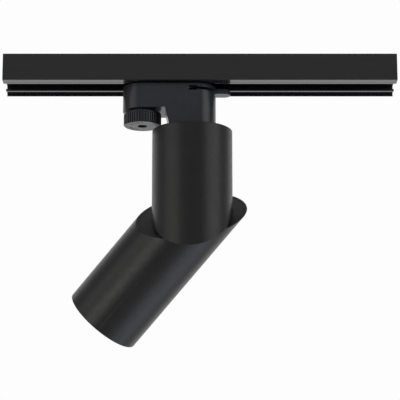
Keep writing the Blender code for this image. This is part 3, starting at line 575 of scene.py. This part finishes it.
RIBS = 45
RIB_STEPS = 16
RIB_DEPTH, RIB_CROWN = 0.75 * MM, 0.1 * MM
RIB_SHARE, RIB_SLOPE = 0.52, 0.17     # of a rib's half pitch: its crown, and each flank
MARK_ANGLE = math.radians(-92)
MARK_HALF, MARK_CLEAR = 2.4, 5.0      # degrees from the mark to its edge, and to the end of its groove
MARK_HEIGHT, MARK_BASE, MARK_GROOVE = 0.12 * MM, 0.1 * MM, 0.35 * MM
SIGN_DEPTH = 0.28 * MM


def knob_radius(angle, base, ribbed, marked):
    """The knob's radius at an angle: ribs with sharp valleys, and the index mark at the front."""
    phase = (angle * RIBS / math.tau) % 1.0
    off_centre = abs(phase - 0.5) * 2
    valley = min(max((off_centre - RIB_SHARE) / RIB_SLOPE, 0.0), 1.0)
    radius = base - ribbed * (RIB_DEPTH * valley + RIB_CROWN * min(off_centre / RIB_SHARE, 1.0) ** 2)
    off = abs(math.degrees(math.remainder(angle - MARK_ANGLE, math.tau)))
    if off < MARK_HALF:
        radius = base - MARK_BASE * (1 - marked) * ribbed + MARK_HEIGHT * marked
    elif off < MARK_CLEAR:
        radius -= MARK_GROOVE * marked
    return radius


def build_knob():
    """The ribbed grip with a plain band, an index mark, engraved signs and the screw hole."""
    count = RIBS * RIB_STEPS
    band = 1.3 * MM
    top = KNOB_HIGH - band
    # height, inset in millimetres, share of the ribs, share of the mark
    levels = [(KNOB_LOW, 0.9, 0, 0), (KNOB_LOW + 0.12 * MM, 0.62, 0, 0),
              (KNOB_LOW + 0.42 * MM, 0.22, 0.15, 0), (KNOB_LOW + 0.85 * MM, 0, 1, 0),
              (top - 0.25 * MM, 0, 1, 1), (top, 0.06, 0.1, 1), (top + 0.1 * MM, 0.1, 0, 1),
              (KNOB_HIGH - 0.35 * MM, 0.1, 0, 1), (KNOB_HIGH - 0.1 * MM, 0.25, 0, 0.5),
              (KNOB_HIGH, 0.5, 0, 0)]
    rings = []
    for height, inset, ribbed, marked in levels:
        base = KNOB_RADIUS - inset * MM
        ring = []
        for index in range(count):
            angle = math.tau * index / count
            radius = knob_radius(angle, base, ribbed, marked)
            ring.append((radius * math.cos(angle), radius * math.sin(angle), height))
        rings.append(ring)
    grip = made("knob_grip", lofted(rings))
    recess, socket = 3.25 * MM, SHAFT_RADIUS + GAP
    bore = [(0, KNOB_LOW - MM), (recess + 0.35 * MM, KNOB_LOW - MM), (recess + 0.35 * MM, KNOB_LOW),
            (recess, KNOB_LOW + 0.35 * MM), (recess, KNOB_LOW + 4.2 * MM),
            (1.6 * MM, KNOB_LOW + 4.2 * MM), (1.6 * MM, KNOB_HIGH - 2.7 * MM),
            (socket, KNOB_HIGH - 2.7 * MM), (socket, KNOB_HIGH + MM),
            (0, KNOB_HIGH + MM)]
    deep = KNOB_LOW + SIGN_DEPTH
    steps = [("DIFFERENCE", spun(bore, SMALL * 2))]
    for start, end in ((205, 250), (110, 155)):
        band_outline = arc((0, 0), 9.4 * MM, start, end, 12) + arc((0, 0), 8.7 * MM, end, start, 12)
        steps.append(("DIFFERENCE", extruded(band_outline, KNOB_LOW - MM, deep)))
        turn = Matrix.Rotation(math.radians(end), 2)
        head = ((7.9 * MM, -0.1 * MM), (10.2 * MM, -0.1 * MM), (9.05 * MM, 1.7 * MM))
        arrow = [tuple(turn @ Vector(point)) for point in head]
        steps.append(("DIFFERENCE", extruded(arrow, KNOB_LOW - MM, deep)))
    for degrees in (-90, 0, 90, 180):
        turn = Matrix.Rotation(math.radians(degrees), 2)
        corners = ((9.6, -0.3), (11.6, -0.3), (11.6, 0.3), (9.6, 0.3))
        tick = [tuple(turn @ Vector((x * MM, y * MM))) for x, y in corners]
        steps.append(("DIFFERENCE", extruded(tick, KNOB_LOW - MM, deep)))
    shaped(grip, steps)
    piece(grip, KNOB, "knob", FINISHES["adapter_black"], ["lock_knob"])

    seat = KNOB_LOW + 3.9 * MM
    screw = [(0, seat + 6 * MM), (1.2 * MM, seat + 6 * MM), (1.2 * MM, seat), (2.8 * MM, seat),
             (2.8 * MM, seat - 1.1 * MM), (1.9 * MM, seat - 1.8 * MM), (0, seat - 1.8 * MM)]
    fixing = made("knob_fixing", spun(rounded(screw, 0.3 * MM, 3, closed=False), SMALL * 2))
    deep, below = seat - 0.7 * MM, seat - 3 * MM
    shaped(fixing, [("DIFFERENCE", block((-a * MM, -b * MM, below), (a * MM, b * MM, deep)))
                    for a, b in ((1.5, 0.3), (0.3, 1.5))])
    piece(fixing, KNOB, "knob", FINISHES["zinc_steel"], ["knob_screw"])


def build_lever():
    """The rocking lever and its tab."""
    origin_x = LEVER_AXIS.x - CENTRE.x
    reach = TAB_END - LEVER_HALF - origin_x
    left = BODY_RIGHT + 0.6 * MM - origin_x
    barrel = extruded(arc((0, 0), LEVER_BARREL, 0, 345, 23), -BARREL_HALF, BARREL_HALF, "Y")
    tab = [(left, -LEVER_HALF)] + arc((reach, 0), LEVER_HALF, -90, 90, 32) + [(left, LEVER_HALF)]
    lever = made("lever_tab", barrel)
    bore = extruded(arc((0, 0), LEVER_PIN + GAP, 0, 360, SMALL)[:-1], -REACH, REACH, "Y")
    shaped(lever, [("UNION", block((0, -LEVER_HALF, -LEVER_THICK), (reach, LEVER_HALF, LEVER_THICK))),
                   ("UNION", extruded(tab, -LEVER_THICK, TAB_TOP)), ("DIFFERENCE", bore)])
    eased(lever, 0.3 * MM, 3)
    piece(lever, LEVER, "lever", FINISHES["adapter_black"], ["release_lever"])


SPRING_WIRE, SPRING_COIL = 0.35 * MM, 2.2 * MM
SPRING_TURNS, SPRING_STEPS, SPRING_SIDES = 4, 24, 10
SPRING_FLAT = 0.12                  # share of the coil that lies flat at each end


def build_spring():
    """The coil spring under the lever, about half a turn flat at each end."""
    wire = SPRING_WIRE
    low = BODY_FLOOR + SHELL + GAP + wire
    high = LEVER_AXIS.z - UNDERSIDE - LEVER_THICK - GAP - wire
    foot = Vector((SPRING_X, 0.0, low))
    count = SPRING_TURNS * SPRING_STEPS
    angles = [math.tau * side / SPRING_SIDES for side in range(SPRING_SIDES)]
    circle = [(wire * math.cos(angle), wire * math.sin(angle)) for angle in angles]
    rings = []
    for index in range(count + 1):
        angle = math.tau * index / SPRING_STEPS
        outward = Vector((math.cos(angle), math.sin(angle), 0.0))
        share = min(max((index / count - SPRING_FLAT) / (1 - 2 * SPRING_FLAT), 0.0), 1.0)
        centre = foot + outward * SPRING_COIL + Vector((0.0, 0.0, (high - low) * share))
        rings.append([centre + outward * x + Vector((0.0, 0.0, z)) for x, z in circle])
    spring = made("lever_coil", lofted(rings))
    piece(spring, ADAPTER, "adapter", FINISHES["spring_steel"], ["lever_spring"])
    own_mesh(spring)


# Head ---------------------------------------------------------------------------------------------

TUBE_RADIUS, TUBE_WALL = 28.25 * MM, 1.6 * MM
INNER = TUBE_RADIUS - TUBE_WALL
RIM, CUT_RIM = 0.4 * MM, 0.3 * MM
UPPER_LENGTH, LOWER_LENGTH = 60.2 * MM, 100.2 * MM
JOINT_GAP, PLATE = 0.8 * MM, 2.5 * MM
LAMP_FRONT, LAMP_RADIUS = -82.4 * MM, 25 * MM
HOLDER_LOW = -37 * MM
PLATE_PLAY, PLATE_REACH = 0.16 * MM, 9 * MM    # a plate's play in its tube; half a cutter's length
CAP_DEPTH, CAP_THICK = 0.5 * MM, 2.5 * MM
CLIP_HIGH, CLIP_WIDE = 1.5 * MM, 1.6 * MM
BAFFLE_STEPS, BAFFLE_TREAD, BAFFLE_LEDGE = 9, 0.72, 0.45 * MM
BAFFLE_BACK, BAFFLE_TAPER, BAFFLE_FRONT = 2.6 * MM, 1.7 * MM, 0.9 * MM
STOP_RADIUS, STOP_PIN = 10.5 * MM, 0.9 * MM


def build_tube(name, square_end, cut_end, matrix, body, node):
    """A tube with one square end and one mitred end, and rolled rims."""
    middle = (square_end + cut_end) / 2

    def mitre(point):
        return point.y if abs(point.z - cut_end) < abs(middle - cut_end) else 0.0

    profile = [(INNER, cut_end, 0.08 * MM), (TUBE_RADIUS, cut_end, CUT_RIM),
               (TUBE_RADIUS, square_end, RIM * 1.4), (INNER, square_end, RIM / 2)]
    tube = made(name, spun(rounded(profile, RIM, 4), ROUND, closed=True, warp=mitre))
    return piece(tube, matrix, body, FINISHES["head_black"], [node])


def face_plate(name, side, matrix, body, node, pin_at=None):
    """The plate that closes a mitred end; side is +1 above the joint and -1 below it."""
    near, far = (side * distance * SQRT2 for distance in (JOINT_GAP / 2, JOINT_GAP / 2 + PLATE))
    rim = INNER - PLATE_PLAY
    profile = [(0, near), (rim, near, 0.08 * MM), (rim, far), (0, far)]
    plate = made(name, spun(rounded(profile, 0.15 * MM, 3, closed=False), ROUND,
                            warp=lambda point: point.y))
    cutters = [(STEM_RADIUS + GAP, (0, 0))]
    if pin_at:
        cutters.append((STOP_PIN + GAP, pin_at))
    steps = []
    for radius, at in cutters:
        cutter = rod(radius, -PLATE_REACH, PLATE_REACH, at)
        cutter.transform(OBLIQUE)
        steps.append(("DIFFERENCE", cutter))
    shaped(plate, steps)
    return piece(plate, matrix, body, FINISHES["head_black"], [node])


def build_upper_head():
    """The upper tube, the cap in its top and the plate on its cut."""
    build_tube("upper_tube_shell", UPPER_LENGTH, JOINT_GAP / 2 * SQRT2, UPPER, "upper_head",
               "upper_tube")
    face_plate("upper_face", 1, UPPER, "upper_head", "upper_cut_plate")
    top = UPPER_LENGTH - CAP_DEPTH
    low = top - CAP_THICK
    profile = rounded([(STEM_RADIUS + GAP, low), (INNER - GAP, low), (INNER - GAP, top, 0.3 * MM),
                       (STEM_RADIUS + GAP, top)], 0.2 * MM, 3)
    cap = made("upper_top_cap", spun(profile, ROUND, closed=True))
    shaped(cap, [("DIFFERENCE", rod(STOP_PIN + GAP, low - MM, top + MM, (0, -STOP_RADIUS)))])
    piece(cap, UPPER, "upper_head", FINISHES["head_black"], ["upper_cap"])


def build_lower_head():
    """The lower tube, its cut plate, the baffle, the clip and the lamp."""
    build_tube("lower_tube_shell", -LOWER_LENGTH, -JOINT_GAP / 2 * SQRT2, LOWER, "lower_head",
               "lower_tube")
    face_plate("lower_face", -1, LOWER, "lower_head", "lower_cut_plate", (0, STOP_RADIUS))
    inner = INNER - GAP
    base, mouth = LAMP_FRONT - CLIP_HIGH - GAP, -LOWER_LENGTH + 0.8 * MM
    stepped = []
    for index in range(BAFFLE_STEPS):
        for share, ledge in ((index / BAFFLE_STEPS, 0.0),
                             ((index + BAFFLE_TREAD) / BAFFLE_STEPS, BAFFLE_LEDGE)):
            radius = inner - BAFFLE_BACK + BAFFLE_TAPER * share + ledge
            stepped.append((radius, base + (mouth - base) * share))
    profile = stepped + [(inner - BAFFLE_FRONT, mouth), (inner, mouth), (inner, base)]
    baffle = made("baffle_steps", spun(profile, MEDIUM, closed=True))
    piece(baffle, LOWER, "lower_head", BLACK_BAFFLE, ["antiglare_baffle"])

    clip = rounded([(inner - CLIP_WIDE, LAMP_FRONT - CLIP_HIGH), (inner, LAMP_FRONT - CLIP_HIGH),
                    (inner, LAMP_FRONT - GAP), (inner - CLIP_WIDE, LAMP_FRONT - GAP)], 0.4 * MM, 4)
    piece(made("ring_clip", spun(clip, MEDIUM, closed=True)), LOWER, "lower_head",
          FINISHES["spring_steel"], ["retaining_ring"])
    build_lamp()


def build_lamp():
    """The lamp: a white shell, a faceted bowl, a yellow chip and a clear front."""
    back, front = HOLDER_LOW - GAP, LAMP_FRONT
    shell = [(0, back), (9.0 * MM, back), (9.4 * MM, back - MM), (9.4 * MM, back - 7 * MM),
             (13 * MM, back - 12 * MM), (19 * MM, back - 22 * MM), (23.4 * MM, front + 8 * MM),
             (LAMP_RADIUS, front + 5 * MM), (LAMP_RADIUS, front, 0.5 * MM), (23.6 * MM, front),
             (23.6 * MM, front + 3 * MM), (20 * MM, front + 9 * MM), (13 * MM, front + 18 * MM),
             (0, front + 24 * MM)]
    piece(made("lamp_shell", spun(rounded(shell, 0.4 * MM, 3, closed=False), MEDIUM)), LOWER,
          "lower_head", FINISHES["lamp_white"], ["lamp_body"])

    lens = [(0, front + 2.2 * MM), (22.6 * MM, front + 2.2 * MM), (23.3 * MM, front + 2.0 * MM),
            (23.3 * MM, front + 0.8 * MM), (22.4 * MM, front + 0.45 * MM), (12 * MM, front + 0.35 * MM),
            (0, front + 0.3 * MM)]
    piece(made("lamp_front", spun(rounded(lens, 0.2 * MM, 2, closed=False), MEDIUM)), LOWER,
          "lower_head", FINISHES["lamp_glass"], ["lamp_lens"])

    # radius and depth of the bowl's rows of facets, in millimetres
    bowl = [(23.3, 3.2), (21.6, 6.2), (19.4, 9.3), (16.9, 12.6), (14.2, 15.9), (11.0, 18.6),
            (7.0, 20.9), (4.6, 22.0)]
    sides, skin = 28, 0.35
    rings = []
    for offset in (0.0, skin):
        order = bowl if offset == 0.0 else bowl[::-1]
        rings += [((radius + offset * 0.1) * MM, front + (depth + offset) * MM)
                  for radius, depth in order]
    reflector = bmesh.new()
    rows = []
    for index, (radius, height) in enumerate(rings):
        shift = 0.5 * (min(index, 2 * len(bowl) - 1 - index) % 2)
        rows.append([reflector.verts.new((radius * math.cos(math.tau * (step + shift) / sides),
                                          radius * math.sin(math.tau * (step + shift) / sides), height))
                     for step in range(sides)])
    for low, high in zip(rows, rows[1:] + rows[:1]):
        for step in range(sides):
            after = (step + 1) % sides
            reflector.faces.new((low[step], low[after], high[step]))
            reflector.faces.new((low[after], high[after], high[step]))
    bowl_piece = made("lamp_reflector", reflector)
    piece(bowl_piece, LOWER, "lower_head", MIRROR)
    bowl_piece.data.shade_flat()

    seat = front + 22.1 * MM
    chip = [(0, seat), (3.2 * MM, seat), (3.4 * MM, seat + 0.3 * MM), (3.4 * MM, seat + 1.0 * MM),
            (0, seat + 1.0 * MM)]
    piece(made("lamp_chip", spun(rounded(chip, 0.2 * MM, 2, closed=False), SMALL)), LOWER,
          "lower_head", PHOSPHOR)


# Studio -------------------------------------------------------------------------------------------

# Brightness of the surround at the front, sides and back, and of each soft box's face beside it
LEVELS = dict(front=0.29, side=0.36, back=1.2, left=0.85, left_low=2.0, right=1.2, right_low=1.0,
              above=0.25, rim=0.8)
NEAR_FADE, FAR_FADE = (-0.28, -0.02), (0.38, 0.72)    # front to side, and side to back, along Y
BACKDROP = 0.982                    # the plain white that the camera sees


def build_world():
    """A white surround behind the object, dimmer on the camera's side; the camera sees plain white."""
    world = bpy.data.worlds.new("studio")
    bpy.context.scene.world = world
    world.use_nodes = True
    nodes, links = world.node_tree.nodes, world.node_tree.links
    nodes.clear()
    out = nodes.new("ShaderNodeOutputWorld")
    seen, lit = nodes.new("ShaderNodeBackground"), nodes.new("ShaderNodeBackground")
    seen.inputs["Color"].default_value = (BACKDROP, BACKDROP, BACKDROP, 1.0)
    path, choice = nodes.new("ShaderNodeLightPath"), nodes.new("ShaderNodeMixShader")
    place, parts = nodes.new("ShaderNodeTexCoord"), nodes.new("ShaderNodeSeparateXYZ")
    links.new(place.outputs["Generated"], parts.inputs["Vector"])
    total = nodes.new("ShaderNodeMath")
    total.operation = "ADD"
    for slot, (fade, low, high) in enumerate((
            (NEAR_FADE, LEVELS["front"], LEVELS["side"]),
            (FAR_FADE, 0.0, LEVELS["back"] - LEVELS["side"]))):
        part = nodes.new("ShaderNodeMapRange")
        part.interpolation_type = "SMOOTHSTEP"
        set_range(part, *fade, low, high)
        links.new(parts.outputs["Y"], part.inputs["Value"])
        links.new(part.outputs["Result"], total.inputs[slot])
    links.new(total.outputs["Value"], lit.inputs["Strength"])
    links.new(path.outputs["Is Camera Ray"], choice.inputs["Fac"])
    links.new(lit.outputs["Background"], choice.inputs[1])
    links.new(seen.outputs["Background"], choice.inputs[2])
    links.new(choice.outputs["Shader"], out.inputs["Surface"])


SOFT_BOXES = (                      # name, azimuth, elevation, distance, width, height, colour
    ("left", -60, 14, 1.3, 1.00, 0.55, (1.0, 0.99, 0.97)),
    ("left_low", -42, -14, 1.3, 0.62, 0.55, (1.0, 0.98, 0.94)),
    ("right", 62, 14, 1.3, 1.00, 0.80, (1.0, 1.0, 1.0)),
    ("right_low", 88, -56, 0.62, 0.52, 0.46, (0.86, 0.90, 1.10)),
    ("above", 0, 31, 1.5, 1.10, 0.76, (0.98, 0.99, 1.0)),
    ("rim", 170, 45, 1.8, 1.40, 1.00, (1.0, 1.0, 1.0)),
)
FLOOR_DROP, FLOOR_RADIUS = 0.75, 1.6    # from the joint down to the floor, and its size
FLOOR_FADE = (0.35, 0.97)           # shares of the radius between which the floor fades out
FLOOR_ROWS = 12


def soft_box(name, azimuth, elevation, distance, width, height, radiance, colour):
    """A rectangular light that faces the joint; azimuth 0 is the camera's side, and 90 is +X."""
    light = bpy.data.lights.new(name, "AREA")
    light.shape = "RECTANGLE"
    light.size, light.size_y = width, height
    light.energy = math.pi * width * height * radiance
    light.color = colour
    obj = bpy.data.objects.new(name, light)
    bpy.context.scene.collection.objects.link(obj)
    a, e = math.radians(azimuth), math.radians(elevation)
    toward = Vector((math.sin(a) * math.cos(e), -math.cos(a) * math.cos(e), math.sin(e)))
    obj.location = CENTRE + toward * distance
    obj.rotation_euler = toward.to_track_quat("Z", "Y").to_euler()
    obj.visible_camera = False
    return obj


def build_floor():
    """A pale round floor well below the object; it fades out towards its edge."""
    radius = FLOOR_RADIUS
    rows = [(0.0, 0.0)] + [(radius * step / FLOOR_ROWS, 0.0) for step in range(1, FLOOR_ROWS + 1)]
    floor = made("floor", spun(rows, MEDIUM))
    floor.location = CENTRE + Vector((0.25, 0.35, -FLOOR_DROP))
    material = surface("pale_floor", ((0.80, 0.80, 0.80), (0.84, 0.84, 0.84)), (0.55, 0.7),
                       bumps=((30.0, 0.2),), patch=300)
    nodes, links = material.node_tree.nodes, material.node_tree.links
    shader = nodes["Principled BSDF"]
    place, length = nodes.new("ShaderNodeTexCoord"), nodes.new("ShaderNodeVectorMath")
    length.operation = "LENGTH"
    fade = nodes.new("ShaderNodeMapRange")
    fade.interpolation_type = "SMOOTHSTEP"
    set_range(fade, radius * FLOOR_FADE[0], radius * FLOOR_FADE[1], 1.0, 0.0)
    links.new(place.outputs["Object"], length.inputs[0])
    links.new(length.outputs["Value"], fade.inputs["Value"])
    links.new(fade.outputs["Result"], shader.inputs["Alpha"])
    floor.data.materials.append(material)


def build_lights():
    """The soft boxes; each level is the brightness of its face beside that of the white surround."""
    for name, azimuth, elevation, distance, width, height, colour in SOFT_BOXES:
        soft_box("box_" + name, azimuth, elevation, distance, width, height, LEVELS[name], colour)


# Place from the joint, degrees above level and focal length in millimetres, fitted to the photo
CAMERA_AT, CAMERA_TILT, CAMERA_LENS = Vector((0.00545, -1.24245, -0.2917)), 13.677, 164.55
SENSOR = 36.0                       # millimetres


def build_camera():
    """A long lens below the joint, looking up at the track."""
    data = bpy.data.cameras.new("camera")
    data.sensor_width = SENSOR
    data.lens = CAMERA_LENS
    camera = bpy.data.objects.new("camera", data)
    bpy.context.scene.collection.objects.link(camera)
    camera.location = CENTRE + CAMERA_AT
    camera.rotation_euler = (math.radians(90 + CAMERA_TILT), 0.0, 0.0)
    data.clip_start, data.clip_end = 0.05, 50.0
    bpy.context.scene.camera = camera


def main():
    """Build the pieces, the studio and the camera."""
    dress_nodes()
    build_track()
    build_housing()
    build_cover()
    build_knob()
    build_lever()
    build_spring()
    build_upper_head()
    build_lower_head()
    build_world()
    build_floor()
    build_lights()
    build_camera()
    bpy.context.scene.view_settings.view_transform = "Standard"


main()
